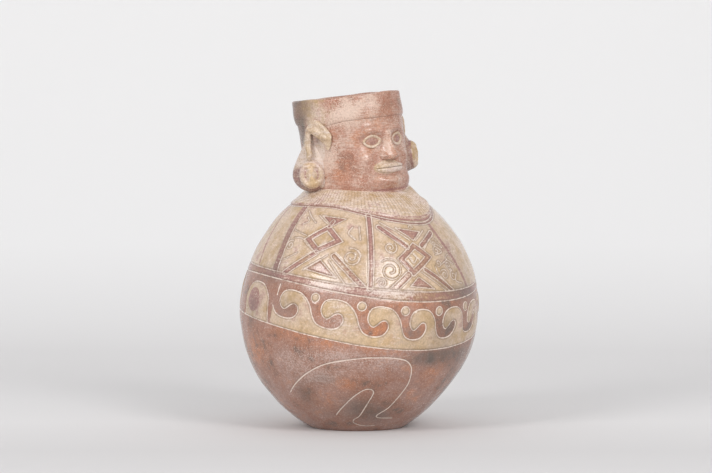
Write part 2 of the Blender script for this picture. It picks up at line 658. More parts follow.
class Nodes:
    """Short names for the nodes of one material."""

    def __init__(self, name):
        self.material = bpy.data.materials.new(name)
        self.material.use_nodes = True
        self.tree = self.material.node_tree
        self.shader = self.tree.nodes["Principled BSDF"]
        place = self.make("ShaderNodeTexCoord", {}, "Object")
        self.mm = self.make("ShaderNodeVectorMath", {0: place, "Scale": 1 / MM}, operation="SCALE")

    def put(self, socket, value):
        value = getattr(value, "socket", value)
        if hasattr(value, "is_output"):
            self.tree.links.new(value, socket)
        elif isinstance(value, tuple) and len(value) < len(socket.default_value):
            socket.default_value = (*value, 1)
        else:
            socket.default_value = value

    def make(self, kind, given, output=0, **settings):
        """A new node with the given inputs, of which one output is wanted."""
        node = self.tree.nodes.new(kind)
        for key, value in settings.items():
            setattr(node, key, value)
        for key, value in given.items():
            self.put(node.inputs[key], value)
        return Wire(self, node.outputs[output])

    def finish(self, **given):
        for name, value in given.items():
            self.put(self.shader.inputs[name.replace("_", " ")], value)
        return self.material

    def math(self, operation, a, b):
        return self.make("ShaderNodeMath", {0: a, 1: b}, operation=operation)

    def range(self, value, low, high, to_low, to_high, kind="LINEAR"):
        given = dict(enumerate((value, low, high, to_low, to_high)))
        return self.make("ShaderNodeMapRange", given, interpolation_type=kind, clamp=True)

    def step(self, value, low, high):
        return self.range(value, low, high, 0.0, 1.0, "SMOOTHSTEP")

    def mix(self, share, a, b, blend="MIX"):
        given = {"Factor": share, 6: a, 7: b}
        return self.make("ShaderNodeMix", given, 2, data_type="RGBA", blend_type=blend)

    def ramp(self, value, *stops):
        made = self.make("ShaderNodeValToRGB", {0: value})
        elements = made.socket.node.color_ramp.elements
        while len(elements) < len(stops):
            elements.new(0.5)
        for element, (place, colour) in zip(elements, stops):
            element.position = place
            element.color = (*colour, 1)
        return made

    def field(self, name):
        return self.make("ShaderNodeAttribute", {}, "Fac", attribute_name=name)

    def noise(self, size, detail, seed, stretch=(1, 1, 1), roughness=0.55, bent=0.0):
        scale = tuple(share / size for share in stretch)
        given = {"Vector": self.mm, "Location": (seed, -seed, 2 * seed), "Scale": scale}
        where = self.make("ShaderNodeMapping", given)
        given = {"Vector": where, "Scale": 1.0, "Detail": detail, "Roughness": roughness, "Distortion": bent}
        return self.make("ShaderNodeTexNoise", given, "Fac")

    def bump(self, height, strength, distance):
        given = {"Strength": strength, "Distance": distance * MM, "Height": height}
        return self.make("ShaderNodeBump", given)


CREAM_PALE, CREAM, OCHRE = (0.64, 0.49, 0.37), (0.555, 0.40, 0.275), (0.50, 0.345, 0.20)
BLUSH, GOLD, SCUFF = (0.50, 0.325, 0.265), (0.63, 0.44, 0.24), (0.73, 0.61, 0.55)
BODY_REDS = dict(
    dark=(0.21, 0.135, 0.105), red=(0.35, 0.175, 0.12), pale=(0.38, 0.225, 0.18),
    orange=(0.51, 0.215, 0.11), haze=(0.56, 0.42, 0.37),
)
HEAD_REDS = dict(
    dark=(0.27, 0.14, 0.10), red=(0.38, 0.17, 0.11), pale=(0.43, 0.235, 0.175),
    orange=(0.49, 0.205, 0.105), haze=(0.66, 0.50, 0.41),
)
PLUM, PLUM_BROWN, SMOKE = (0.375, 0.19, 0.17), (0.36, 0.205, 0.125), (0.105, 0.092, 0.078)
LINE_PALE, LINE_DARK = (0.80, 0.67, 0.58), (0.16, 0.09, 0.06)
CLAY, CLAY_DARK, CLAY_PALE = (0.40, 0.24, 0.16), (0.22, 0.14, 0.105), (0.45, 0.285, 0.22)


def painted_clay(name, gloss, reds, streaked):
    """Cream slip, with red, plum, smoke, wear and incised lines where the mesh's fields say."""
    n = Nodes(name)
    broad, patch = n.noise(34, 4, 3), n.noise(14, 3, 8, roughness=0.5)
    mottle, fleck, speck = n.noise(4.2, 5, 14), n.noise(1.1, 3, 21), n.noise(0.6, 1, 41)
    streak = n.noise(2.2, 4, 31, stretch=(0.3, 0.3, 2.0))
    brushed = n.noise(1.2, 5, 53, stretch=(0.3, 0.3, 1.5), bent=0.7)
    ragged = (mottle - 0.5) * 0.1
    worn, warm = n.field("worn"), n.field("warm") * n.step(mottle, 0.3, 0.6)

    tone = patch * 0.6 + mottle * 0.4
    cream = n.ramp(tone, (0.39, OCHRE), (0.46, CREAM), (0.54, CREAM_PALE), (0.62, BLUSH))
    cream = n.mix(warm * 0.8, cream, GOLD)
    stops = zip((0.40, 0.47, 0.54, 0.65), (reds[tint] for tint in ("dark", "red", "pale", "orange")))
    red = n.ramp(broad * 0.45 + tone * 0.55, *stops)
    red = n.mix(warm, red, reds["orange"])
    flaked = n.step(speck + worn * 0.2, 0.64, 0.7)
    red = n.mix(flaked * 0.8, red, reds["haze"])
    bared = n.step((brushed + patch) * 0.5 + worn * 0.16, 0.48, 0.68)
    red = n.mix(bared * streaked, red, reds["haze"])
    plum = n.mix(n.math("MAXIMUM", n.step(broad, 0.56, 0.68), warm), PLUM, PLUM_BROWN)

    is_red = n.step(n.field("red") + ragged, 0.47, 0.53)
    is_plum = n.step(n.field("plum") + ragged, 0.46, 0.54)
    rubbed = (fleck + streak) * 0.5 + worn * 0.2
    colour = n.mix(is_red, cream, red)
    colour = n.mix(is_plum * n.range(rubbed, 0.5, 0.7, 0.95, 0.25), colour, plum)
    colour = n.mix(1.0, colour, n.range(fleck, 0.3, 0.7, 0.84, 1.16), "MULTIPLY")

    scuffed = n.step(rubbed + (patch - 0.5) * 0.3, 0.55, 0.78)
    dust = scuffed * n.range(is_red, 0, 1, 0.8, 0.45)
    colour = n.mix(dust, colour, n.mix(is_red, SCUFF, reds["haze"]))
    smoke = n.field("cloud") * n.range(patch, 0.35, 0.65, 0.5, 1.0)
    colour = n.mix(smoke * n.range(is_red, 0, 1, 0.75, 0.9), colour, SMOKE)

    line = n.field("line") + ragged * 0.8
    half = LINE_WIDTH / 2 / REACH
    beside = n.step(line, 1 - 4.2 * half, 1 - 1.7 * half)
    colour = n.mix(beside * n.range(is_red, 0, 1, 0.42, 0.12), colour, LINE_DARK)
    in_line = n.step(line, 1 - 1.4 * half, 1 - 0.6 * half)
    grain = mottle + fleck
    chalk = in_line * n.range(grain, 0.78, 1.05, 0.4, 0.95)
    chalk = n.math("MINIMUM", chalk * n.range(is_red, 0, 1, 0.8, 1.5), 1.0)

    rough = n.range(grain, 0.75, 1.25, gloss - 0.05, gloss + 0.1) + (scuffed + chalk) * 0.14
    colour = n.mix(chalk, colour, LINE_PALE)
    relief = fleck * 0.5 + streak * 0.6 + mottle * 0.5 - in_line * 0.8
    return n.finish(Base_Color=colour, Roughness=rough, Normal=n.bump(relief, 0.5, 0.06))


def bare_clay(name):
    """Unslipped clay of the inside, matt and finger-smoothed."""
    n = Nodes(name)
    blotch, mottle, grain = n.noise(18, 5, 5), n.noise(4, 6, 9), n.noise(0.6, 3, 12)
    colour = n.mix(n.step(blotch, 0.35, 0.65), CLAY, CLAY_DARK)
    colour = n.mix(n.step(mottle, 0.5, 0.7) * 0.5, colour, CLAY_PALE)
    rough = n.range(grain, 0.3, 0.7, 0.72, 0.95)
    return n.finish(Base_Color=colour, Roughness=rough, Normal=n.bump(mottle + grain * 0.5, 0.7, 0.4))


burnished = painted_clay("burnished_slip", 0.16, BODY_REDS, 0.2)
worn_slip = painted_clay("worn_slip", 0.23, HEAD_REDS, 0.7)
clay = bare_clay("bare_clay")


# The body: one skin drawn on all over, cut into slab, lower half and upper half at the potter's joints.
# Its mesh is closer at the front, and from the leg's top up to the collar.
FRONT_FROM, FRONT_TO = -135, 80
FRONT_COLUMNS, BACK_COLUMNS = 470, 130
LEG_TOP_Z, UNDER_COLLAR_Z = 48, 141
SLAB_ROWS, LEG_ROWS, BORDER_ROWS, CHEST_ROWS, CROWN_ROWS = 18, 105, 50, 143, 8
LOWER_INNER_ROWS, UPPER_INNER_ROWS = 8, 10
FOOT_RINGS, TOP_RINGS = np.array([0.4, 8, 16, 22, 26]), np.array([30, 15, 0.4])
FOOT_HOLLOW, INNER_RADIUS = 0.5, 70

front_angles = np.linspace(FRONT_FROM, FRONT_TO, FRONT_COLUMNS, endpoint=False)
back_angles = np.linspace(FRONT_TO, FRONT_FROM + 360, BACK_COLUMNS, endpoint=False)
body_angles = np.sort(turned(np.concatenate([front_angles, back_angles])))[None, :]
bore_arc = arc_at_shoulder(HEAD_HALF_WIDTH - HEAD_WALL)
slab_arc, leg_arc, collar_arc = arc_at_height([SLAB_TOP, LEG_TOP_Z, UNDER_COLLAR_Z])
row_spans = [
    (0, slab_arc, SLAB_ROWS - 1), (slab_arc, leg_arc, LEG_ROWS), (leg_arc, seam_arc, BORDER_ROWS - 1),
    (seam_arc, collar_arc, CHEST_ROWS), (collar_arc, bore_arc, CROWN_ROWS - 1),
]
body_rows = np.concatenate([*(np.linspace(*span, endpoint=False) for span in row_spans), [bore_arc]])


def body_skin(arcs):
    """Points and fields of the outer skin at rows of arc lengths."""
    canvas = Canvas(body_angles[0], arcs)
    draw_tunic(canvas)
    z = canvas.z[:, None]
    steady = smooth(0, 10, z) * smooth(0, 14, CROWN_Z - z)
    lift = steady * uneven(around(canvas.radius[:, None], body_angles, z), broad=0.35, close=0.1)
    lift -= LINE_DEPTH * hump(canvas.line, 0, 0.75 * LINE_WIDTH)
    in_border = (z > hem(body_angles) + GROUND_ABOVE_HEM) & (z < band_bottom(body_angles))
    lift -= in_border * GROUND_DEPTH * smooth(-0.5, 0.5, canvas.colours["red"])
    moved_radius, moved_z = along_outline(arcs[:, None], -lift)
    fields = {name: coded(depth) for name, depth in canvas.colours.items()}
    fields["line"] = np.clip(1 - canvas.line / REACH, 0, 1)
    for name, table in BODY_SPOTS.items():
        fields[name] = spots(table, body_angles, z)
    return swayed(around(moved_radius, body_angles, moved_z)), fields


def pushed_out(points, amount):
    """Moves points of the belly's inside away from the jar's axis."""
    return points + amount[..., None] * points * (1, 1, 0) / INNER_RADIUS


def make_body():
    skin, fields = body_skin(body_rows)
    slab_end = SLAB_ROWS - 1
    seam = slab_end + LEG_ROWS + BORDER_ROWS - 1
    hollow = FOOT_HOLLOW * smooth(25, 10, FOOT_RINGS)
    under = around(FOOT_RINGS[:, None], body_angles, hollow[:, None])
    top = around(TOP_RINGS[:, None], body_angles, SLAB_TOP)
    grid = np.concatenate([under, skin[:slab_end + 1], top])
    index = np.clip(np.arange(len(grid)) - len(under), 0, slab_end)
    piece("base_slab", grid, burnished, "red_slip", fields={k: v[index] for k, v in fields.items()})

    for node, slot, start, stop, inner_arcs in (
        ("lower_body", "red_slip", slab_end, seam + 1, np.linspace(seam_arc, slab_arc, LOWER_INNER_ROWS)),
        ("upper_body", "cream_slip", seam, len(skin), np.linspace(bore_arc, seam_arc, UPPER_INNER_ROWS)),
    ):
        radius, z = along_outline(inner_arcs[:, None], BODY_WALL)
        inner = around(radius, body_angles, z)
        inner = pushed_out(inner, uneven(inner, close=0.25))
        plain = even_fields(inner.shape[:2], red=1)
        closed = {k: np.vstack([v[start:stop], plain[k]]) for k, v in fields.items()}
        piece(node, np.concatenate([skin[start:stop], inner]), burnished, slot, wrap_rows=True, fields=closed)


def make_ring(node, profile, dents):
    """A clay coil pressed down by a row of finger marks: rows of (radius, height) turned about Z."""
    angles = all_round(160)
    radius, z = np.vstack(profile).T[..., None]
    marks = FINGER_DENT * np.sin(np.radians(angles) * dents)
    piece(node, pushed_out(around(radius, angles, z), marks), clay, "bare_clay", wrap_rows=True)


def make_inner_coils():
    depth = BODY_WALL + COIL_GAP
    half = SEAM_COIL_WIDTH / 2
    share = np.linspace(0, 1, 9)
    back = np.stack(along_outline(seam_arc + lerp(-half, half, share), depth), -1)
    swell = depth + COIL_EDGE + SEAM_COIL_BULGE * np.sin(math.pi * share[::-1])
    front = np.stack(along_outline(seam_arc + lerp(half, -half, share), swell), -1)
    make_ring("body_seam_coil", [back, front], SEAM_DENTS)

    floor = SLAB_TOP + SLIP_JOINT
    wall = np.stack(along_outline(slab_arc + np.linspace(0.5, BASE_COIL, 6), depth), -1)
    wall[0, 1] = floor
    toe = np.array([wall[0, 0] - BASE_COIL, floor])
    bend = lerp(wall[0], wall[-1], 0.3)
    hollow = bezier([wall[-1], bend, toe + (0, COIL_EDGE)], np.linspace(0.1, 1, 8)[:, None])
    make_ring("base_coil", [wall, hollow, toe], BASE_DENTS)


# The head: its frame, skin and bore.
neck_z = float(shoulder_height(HEAD_HALF_WIDTH))


def direction(azimuth):
    turn = math.radians(azimuth)
    return Vector((math.sin(turn), -math.cos(turn), 0))


lean_axis = Vector((0, 0, 1)).cross(direction(HEAD_LEANS_TOWARD))
head_turn = np.array(Matrix.Rotation(math.radians(HEAD_LEAN), 3, lean_axis))


def from_head(points):
    return points @ head_turn.T + np.array([0, 0, neck_z])


# Swellings and hollows of the face: how far out, place aside and up, spreads aside and up.
FACE_FORMS = [
    (1.6, 0, BROW_Z - 1, 4, 6),  # root of the nose
    (-2.4, EYE_WIDTH, EYE_Z, 7, 5.4),  # eye socket
    (1.5, EYE_WIDTH, EYE_Z, 4.6, 2.9),  # eyeball
    (2.2, 15.5, NOSE_BASE_Z + 0.5, 8, 6.5),  # cheek
    (-0.7, 10.5, MOUTH_Z + 4.2, 2.4, 3.4),  # fold beside the mouth
    (2.4, 0, MOUTH_Z, 13, 7.4),  # muzzle
    (3.0, 0, CHIN_Z + 2.5, 7.5, 3.6),  # chin
    (-0.9, 0, MOUTH_Z - 5.2, 7, 1.6),  # dip under the lip
    (1.1, 21, CHIN_Z + 3, 12, 3.5),  # jaw
]
BROW_HEIGHT, UNDER_CHIN = 2.2, 1.2


def face_relief(x, z):
    """How far the face stands out from the plain neck, x mm round from its middle line."""
    side = np.abs(x)
    brow_line = BROW_Z + 1.5 - 0.02 * (side - EYE_WIDTH) ** 2
    relief = BROW_HEIGHT * hump(side, 9, 10) * hump(z, brow_line, 3)
    for out, aside, up, wide, tall in FACE_FORMS:
        relief = relief + out * hump(side, aside, wide) * hump(z, up, tall)
    return relief - UNDER_CHIN * smooth(CHIN_Z, CHIN_Z - 5, z) * smooth(32, 24, side)


def plain_radius(angle, z, inset=0):
    flare = RIM_FLARE * smooth(HEADBAND_Z, HEAD_HEIGHT, z)
    near_corner = hump(turned(np.asarray(angle, float) - CORNER_ANGLE), 0, CORNER_SPREAD)
    corner = CORNER_PULL * near_corner * smooth(CORNER_FOOT_Z, CORNER_TOP_Z, z)
    swell = HEAD_SWELL * smooth(SWELL_FOOT_Z, SWELL_TOP_Z, z)
    turn = np.radians(angle)
    across = np.sin(turn) / (HEAD_HALF_WIDTH - inset + flare)
    along = np.cos(turn) / (HEAD_HALF_DEPTH - inset + flare)
    return 1 / np.hypot(across, along) + corner + swell


def bore_radius(angle, z):
    return plain_radius(angle, z, HEAD_WALL)


def head_radius(angle, z):
    return plain_radius(angle, z) + face_relief(HEAD_HALF_WIDTH * np.radians(turned(angle)), z)


def rim_height(angle):
    turn = np.radians(angle)
    waves = sum(amount * np.sin(count * turn + phase) for amount, count, phase in RIM_WAVES)
    return HEAD_HEIGHT - RIM_DROP + waves


def head_foot(angle, search=12.0, sunk=0.6):
    """Height in the head's frame at which its skin meets the shoulder."""
    low, high = np.full(np.shape(angle), -search), np.full(np.shape(angle), search)
    for _ in range(30):
        z = (low + high) / 2
        point = from_head(around(head_radius(angle, z), angle, z))
        above = point[..., 2] > shoulder_height(np.hypot(point[..., 0], point[..., 1]))
        low, high = np.where(above, low, z), np.where(above, z, high)
    return low - sunk


# A dark line under the jaw, round the front: height, half width, half angle.
JAW_LINE_Z, JAW_LINE_HALF, JAW_LINE_TO = CHIN_Z - 2.6, 0.75, 88


def head_fields(angle, z):
    angle, z = np.broadcast_arrays(angle, z)
    jaw_line = JAW_LINE_HALF - np.abs(z - JAW_LINE_Z)
    return {
        **even_fields(z.shape),
        **{name: spots(table, angle, z) for name, table in HEAD_SPOTS.items()},
        "red": 1 - spots(HEAD_CREAM, angle, z),
        "plum": coded(np.where(np.abs(turned(angle)) < JAW_LINE_TO, jaw_line, -REACH)),
    }


def head_half(node, angles, rows, inner_rows=14):
    angles = angles[None, :]
    foot, top = head_foot(angles), rim_height(angles) - RIM_ROUND
    z = lerp(foot, top, shares(rows))
    radius = head_radius(angles, z)
    outer = around(radius + uneven(around(radius, angles, z), close=0.16, broad=0.2), angles, z)
    rim_turn = math.pi * shares(7)[1:-1]
    rim_z = top + RIM_ROUND * np.sin(rim_turn)
    rim_ends = plain_radius(angles, HEAD_HEIGHT), bore_radius(angles, HEAD_HEIGHT)
    rim = around(lerp(*rim_ends, 0.5 - 0.5 * np.cos(rim_turn)), angles, rim_z)
    bore_z = lerp(top, foot, shares(inner_rows))
    bore = around(bore_radius(angles, bore_z), angles, bore_z)
    fields = head_fields(angles, np.concatenate([z, rim_z, bore_z]))
    for name in FIELDS:
        fields[name][-inner_rows:] = name == "red"
    grid = from_head(np.concatenate([outer, rim, bore]))
    piece(node, grid, worn_slip, "red_slip", wrap_rows=True, wrap_columns=False, fields=fields)


def make_head():
    across = np.linspace(-1, 1, 241)
    head_half("head_front", 90 * lerp(across**3, across, 0.6), 170)
    head_half("head_back", np.linspace(90, 270, 121), 70)


def make_headband():
    """A thin band up to the rim, flatter by the ears, whose lower edge dips towards them."""
    angles = all_round(360)
    aside = np.abs(turned(angles))
    foot = HEADBAND_Z + 1 - BAND_DIP * hump(aside, BAND_DIP_ANGLE, BAND_SPREAD)
    rim = rim_height(angles)
    z = lerp(foot, rim, shares(44))
    by_ears = hump(aside, BAND_FLAT_ANGLE, BAND_SPREAD)
    edge = dome(1 - np.minimum(z - foot, HEADBAND_EDGE) / HEADBAND_EDGE)
    proud = HEADBAND_THICKNESS * edge * (1 - BAND_FLAT * by_ears)
    proud = proud - BAND_TOP_DROP * (1 - dome(1 - np.clip((rim - z) / BAND_TOP_ROUND, 0, 1)))
    skin = head_radius(angles, z)
    proud = proud + 0.1 + uneven(around(skin, angles, z), close=0.2, broad=0.2)
    back = around(skin - BAND_SEAT, angles, z)[::-1]
    heights = np.concatenate([z, z[::-1]])
    fields = head_fields(angles, heights)
    fields["line"] = np.clip(1 - np.abs(heights - foot) / REACH, 0, 1) * 0.8 * (1 - by_ears)
    fields["red"][:] = 0.52 + 0.02 * hump(turned(angles), -30, 60) - 0.05 * by_ears
    grid = np.concatenate([around(skin + proud, angles, z), back])
    piece("headband", from_head(grid), worn_slip, "red_slip", wrap_rows=True, fields=fields)


def make_neck_coil():
    angles, share = all_round(160), shares(10)
    z = lerp(-NECK_COIL_DEPTH, NECK_COIL_RISE, share)
    bulge = np.sin(math.pi * share)
    swell = COIL_EDGE + NECK_COIL_BULGE * bulge + 0.3 * np.sin(np.radians(angles) * NECK_DENTS) * bulge
    seat = bore_radius(angles, z) - SLIP_JOINT
    grid = np.concatenate([around(seat, angles, z), around(seat - swell, angles, z)[::-1]])
    piece("neck_joint_coil", from_head(grid), clay, "bare_clay", wrap_rows=True)


def make_seam_strip(name, side):
    half = math.degrees(STRIP_WIDTH / 2 / (HEAD_HALF_WIDTH - HEAD_WALL))
    share, up = shares(15).T, shares(40)
    angle = side * 90 + lerp(-half, half, share)
    z = lerp(NECK_COIL_RISE + SLIP_JOINT, HEAD_HEIGHT - STRIP_TO_RIM, up)
    ends = dome((2 * up - 1) ** 4)
    swell = 0.2 + (STRIP_BULGE + 0.3 * np.sin(9 * math.pi * up)) * np.sin(math.pi * share) * ends
    bore = bore_radius(angle, z)
    back, front = around(bore - 0.2, angle, z), around(bore - SLIP_JOINT - swell, angle, z)
    grid = np.concatenate([back, front[:, ::-1]], axis=1)
    piece(f"{name}_head_seam_strip", from_head(grid), clay, "bare_clay")


# Pieces modelled on the face. Each is a pad whose rings shrink from its outline to its middle.
def on_face(x, z, lift):
    angle = np.degrees(x / HEAD_HALF_WIDTH)
    return from_head(around(head_radius(angle, z) + lift, angle, z))


def face_pad(node, edge, middle, height, slot, rings, **fields):
    """A pad on the face: edge and middle are (x, z), height gives its swelling at (x, z)."""
    back = [0.02, 0.5, 0.97]
    spread = np.concatenate([back, 1 - np.linspace(0, 0.98, rings)])[:, None, None]
    x, z = np.moveaxis(middle + spread * (edge - np.asarray(middle)), -1, 0)
    lift = height(x, z)
    lift[:3] = -1.0
    lift[3] = np.minimum(lift[3], 0) - 0.25
    values = {"red": 1.0, "worn": 0.4, **fields}
    filled = even_fields(x.shape)
    for name, value in values.items():
        filled[name][:] = value(x, z) if callable(value) else value
    piece(node, on_face(x, z, lift), worn_slip, slot, fields=filled, crease=180)


def make_nose():
    """A ridge that widens from the brow to a round tip between two wings."""
    tip_z, tall = NOSE_BASE_Z + TIP_RISE, BROW_Z - NOSE_BASE_Z

    def height(x, z):
        v = (z - NOSE_BASE_Z) / tall
        under = dome(np.maximum(tip_z - z, 0) / TIP_ROUND)
        half = lerp(NOSE_FOOT_HALF, NOSE_TOP_HALF, smooth(0, 0.7, v))
        ridge = NOSE_HEIGHT * smooth(1.25, 0.02, v) * under * np.exp(-(np.abs(x / half) ** 2.3))
        wing = WING_HEIGHT * hump(np.abs(x), WING_ASIDE, 1.8) * hump(z, NOSE_BASE_Z + WING_RISE, 2.0)
        return np.cbrt(ridge**3 + wing**3)

    bridge = [(0, 1.6), (1.9, 0.8), (2.9, -2)]
    wings = [(3.6, 9), (5.2, 5.4), (6.6, 3), (6.3, 0.6), (4.6, -0.5), (2.2, -0.6), (0, -1.1)]
    half = spline(np.vstack([np.add(bridge, (0, BROW_Z)), np.add(wings, (0, NOSE_BASE_Z))]), 5)
    edge = np.vstack([half[::-1], (half * (-1, 1))[1:-1]])
    face_pad("nose", edge, (0, NOSE_BASE_Z + 4), height, "red_slip", 34,
             warm=lambda x, z: 0.6 * hump(x, 0.5, 2.5), worn=0.3)


def make_lip(node, tall, up, bow):
    """A lip of a height, above the mouth's line (up is 1) or below it (-1), with or without a bow."""
    half = EYE_WIDTH

    def taper(x):
        return dome(x / (half + 0.4))

    def height(x, z):
        share = up * (z - MOUTH_Z) / (tall * np.maximum(taper(x), 0.1))
        swell = dome((2 * share - 0.85) / math.sqrt(1.5))
        return LIP_HEIGHT * (1 - 0.16 * bow * hump(x, 0, BOW_SPREAD)) * swell * taper(x) - 0.3

    x = np.linspace(-half, half, 40)
    far = MOUTH_Z + up * tall * np.maximum(taper(x), 0.12) - 0.45 * bow * hump(x, 0, BOW_SPREAD)
    near = np.full_like(x, MOUTH_Z + 0.05 * up)
    edge = np.vstack([np.stack([x, near], -1), np.stack([x, far], -1)[::-1]])[::up]
    face_pad(node, edge, (0, MOUTH_Z + up * tall * 0.45), height, "cream_slip", 12, red=0.46, worn=0.8)


def almond(turn, margin):
    c, s = np.cos(turn), np.sin(turn)
    wide, tall = EYE_WIDTH / 2 + 0.6 - margin, EYE_HEIGHT / 2 + 0.5 - margin
    return np.stack([wide * c, tall * s * (1 - 0.25 * c * c)], -1)


def make_eye(name, side):
    turn = full_turn(64)
    middle = np.array([side * EYE_WIDTH, EYE_Z])

    def swell(x, z):
        aside, up = (x - middle[0]) / EYEBALL_HALF_WIDTH, (z - middle[1]) / EYEBALL_HALF_HEIGHT
        return 0.5 + 0.5 * dome(np.hypot(aside, up))

    def iris(x, z):
        return coded(IRIS_RADIUS - np.hypot(x - middle[0], z - middle[1]))

    face_pad(f"{name}_eye_pellet", almond(turn, LID_WIDTH * 0.8) + middle, middle, swell, "plum_slip", 16,
             plum=iris, red=0.9, worn=0.1, cloud=0.15)

    round_turn = full_turn(17)[:, None]
    margin = (LID_WIDTH + 0.5) * (0.5 - 0.5 * np.cos(round_turn)) - 0.5
    lift = 0.35 + np.where(np.sin(round_turn) >= 0, 0.95, 1.1) * np.sin(round_turn)
    x, z = np.moveaxis(almond(turn, margin) + middle, -1, 0)
    fields = even_fields(x.shape, red=0.12, worn=0.45)
    grid = on_face(x, z, lift)
    piece(f"{name}_eyelids", grid, worn_slip, "cream_slip", wrap_rows=True, fields=fields, crease=180)


# Ears and their ornaments.
def make_ear(name, side):
    """A roll of clay from the ornament's top up to the headband, which spreads there into a flap."""
    spread = math.degrees(EAR_SPREADS[name] / HEAD_HALF_WIDTH)
    top, lobe = HEADBAND_Z - EAR_UNDER_BAND, SPOOL_HEIGHTS[name] + SPOOL_RADIUS - EAR_IN_SPOOL
    path = spline([
        (0, lobe), (-0.03 * spread, lerp(lobe, top, 0.6)), (-0.15 * spread, top - 1.5), (-0.42 * spread, top),
        (-0.88 * spread, top - 0.45 * EAR_FRONT_DROP), (-spread, top - EAR_FRONT_DROP),
    ], 14)
    angle, z = side * (EAR_ANGLES[name] + path[:, 0]), path[:, 1]
    share = shares(len(path))
    centre = around(head_radius(angle, z) + EAR_PROUD, angle, z)
    centre += EAR_LEANS[name] * smooth(0.4, 0, share) * around(1, side * SPOOL_FACING, 0)
    ends = np.clip(np.minimum(share / 0.12, (1 - share) / 0.1), 0, 1)
    widths = np.stack([np.linspace(0, 1, len(EAR_HALF_WIDTHS)), EAR_HALF_WIDTHS], -1)
    across = spline(widths, 14)[:, 1:] * np.maximum(dome(1 - ends), math.sqrt(0.02))
    tall = across * lerp(0.85, 0.45, smooth(0.35, 0.7, share))
    forward = np.gradient(centre, axis=0)
    forward /= np.linalg.norm(forward, axis=1)[:, None]
    outward = around(1, angle, 0)
    sideways = np.cross(forward, outward)
    turn = full_turn(32)
    upper = np.maximum(np.sign(sideways[:, 2:]) * np.sin(turn), 0)
    across = across * (1 + 0.7 * upper * smooth(0.45, 0.6, share) * smooth(1, 0.8, share))
    grid = centre[:, None] + (tall * np.cos(turn))[..., None] * outward[:, None]
    grid = grid + (across * np.sin(turn))[..., None] * sideways[:, None]
    grid += uneven(grid, close=0.2, fine=0.35)[..., None] * outward[:, None]
    fields = even_fields(grid.shape[:2], red=0.4, cloud=0.16, worn=0.45, warm=0.5)
    fields["cloud"] += 0.2 * smooth(0.45, 0.15, share)
    piece(f"{name}_ear", from_head(grid), worn_slip, "cream_slip", fields=fields)


def make_spool(name, side):
    """A knob with a flared foot on the head's skin and a domed face with a hollow on either side."""
    seat_angle, seat_z = side * SPOOL_ANGLES[name], SPOOL_HEIGHTS[name]
    out, along = around(1, side * SPOOL_FACING, 0), around(1, side * SPOOL_FACING + 90, 0)
    seat = around(plain_radius(seat_angle, seat_z), seat_angle, seat_z)
    turn = full_turn(96)
    across, up = np.cos(turn), np.sin(turn)
    backward = side * across

    def on_head(radius, lift):
        angle = seat_angle + np.degrees(SPOOL_FOOT_SHAPE * radius * across / HEAD_HALF_WIDTH)
        z = seat_z + radius * up * (1 + SPOOL_FLARE * np.maximum(up, 0) ** 2)
        return around(head_radius(angle, z) + lift, angle, z)

    def in_front(radius, proud):
        flat = SPOOL_FACE_SHAPE * across[:, None] * along + up[:, None] * (0, 0, 1)
        return seat + np.reshape(proud, (-1, 1)) * out + radius * flat

    face = np.subtract((SPOOL_RADIUS, SPOOL_PROUD), SPOOL_FACE)
    foot, rim = on_head(SPOOL_FOOT_RADIUS, -0.4), in_front(*face[0])
    bend = lerp(foot, rim, 0.5) + (2 * side * SPOOL_LOBE * ((1 + backward) / 2) ** 2)[:, None] * along
    flank = bezier([foot, bend, rim], shares(12)[..., None])
    radii, prouds = spline(face, 5)[1:].T
    sides = smooth(0.35, 0.8, np.abs(across))
    hollowed = hump(radii, HOLLOW_RADIUS, HOLLOW_SPREAD)[:, None] * sides
    front = [in_front(r, p - HOLLOW_DEPTH * h) for r, p, h in zip(radii, prouds, hollowed)]
    grid = np.stack([on_head(0.2, -1.5), on_head(SPOOL_FOOT_RADIUS - 1.5, -1.5), *flank, *front])
    grid += uneven(grid, close=0.14, fine=0.1)[..., None] * out

    fields = even_fields(grid.shape[:2], red=0.2, cloud=0.05, worn=0.4, warm=0.2)
    shaded = smooth(0.1, 0.7, backward) * smooth(0.75, 0.3, up)
    shaded = np.maximum(shaded, smooth(-0.6, -0.95, up))
    if name == "left":
        shaded = np.maximum(shaded, 0.85)
    on_face_rows, skirt = slice(-len(front), None), slice(len(grid) - len(front) + 5)
    fields["plum"][skirt] = 0.7 * shaded
    fields["cloud"][skirt] = 0.1 + 0.3 * shaded
    fields["worn"][skirt] = 0.9 - 0.75 * shaded
    middle = (1 - sides) * smooth(SPOOL_RADIUS, SPOOL_RADIUS - 3, radii[:, None])
    fields["plum"][on_face_rows] = np.maximum(fields["plum"][on_face_rows], 0.55 * hollowed)
    fields["warm"][on_face_rows] = middle
    fields["worn"][on_face_rows] *= 1 - 0.6 * middle
    piece(f"{name}_ear_spool", from_head(grid), worn_slip, "cream_slip", fields=fields)


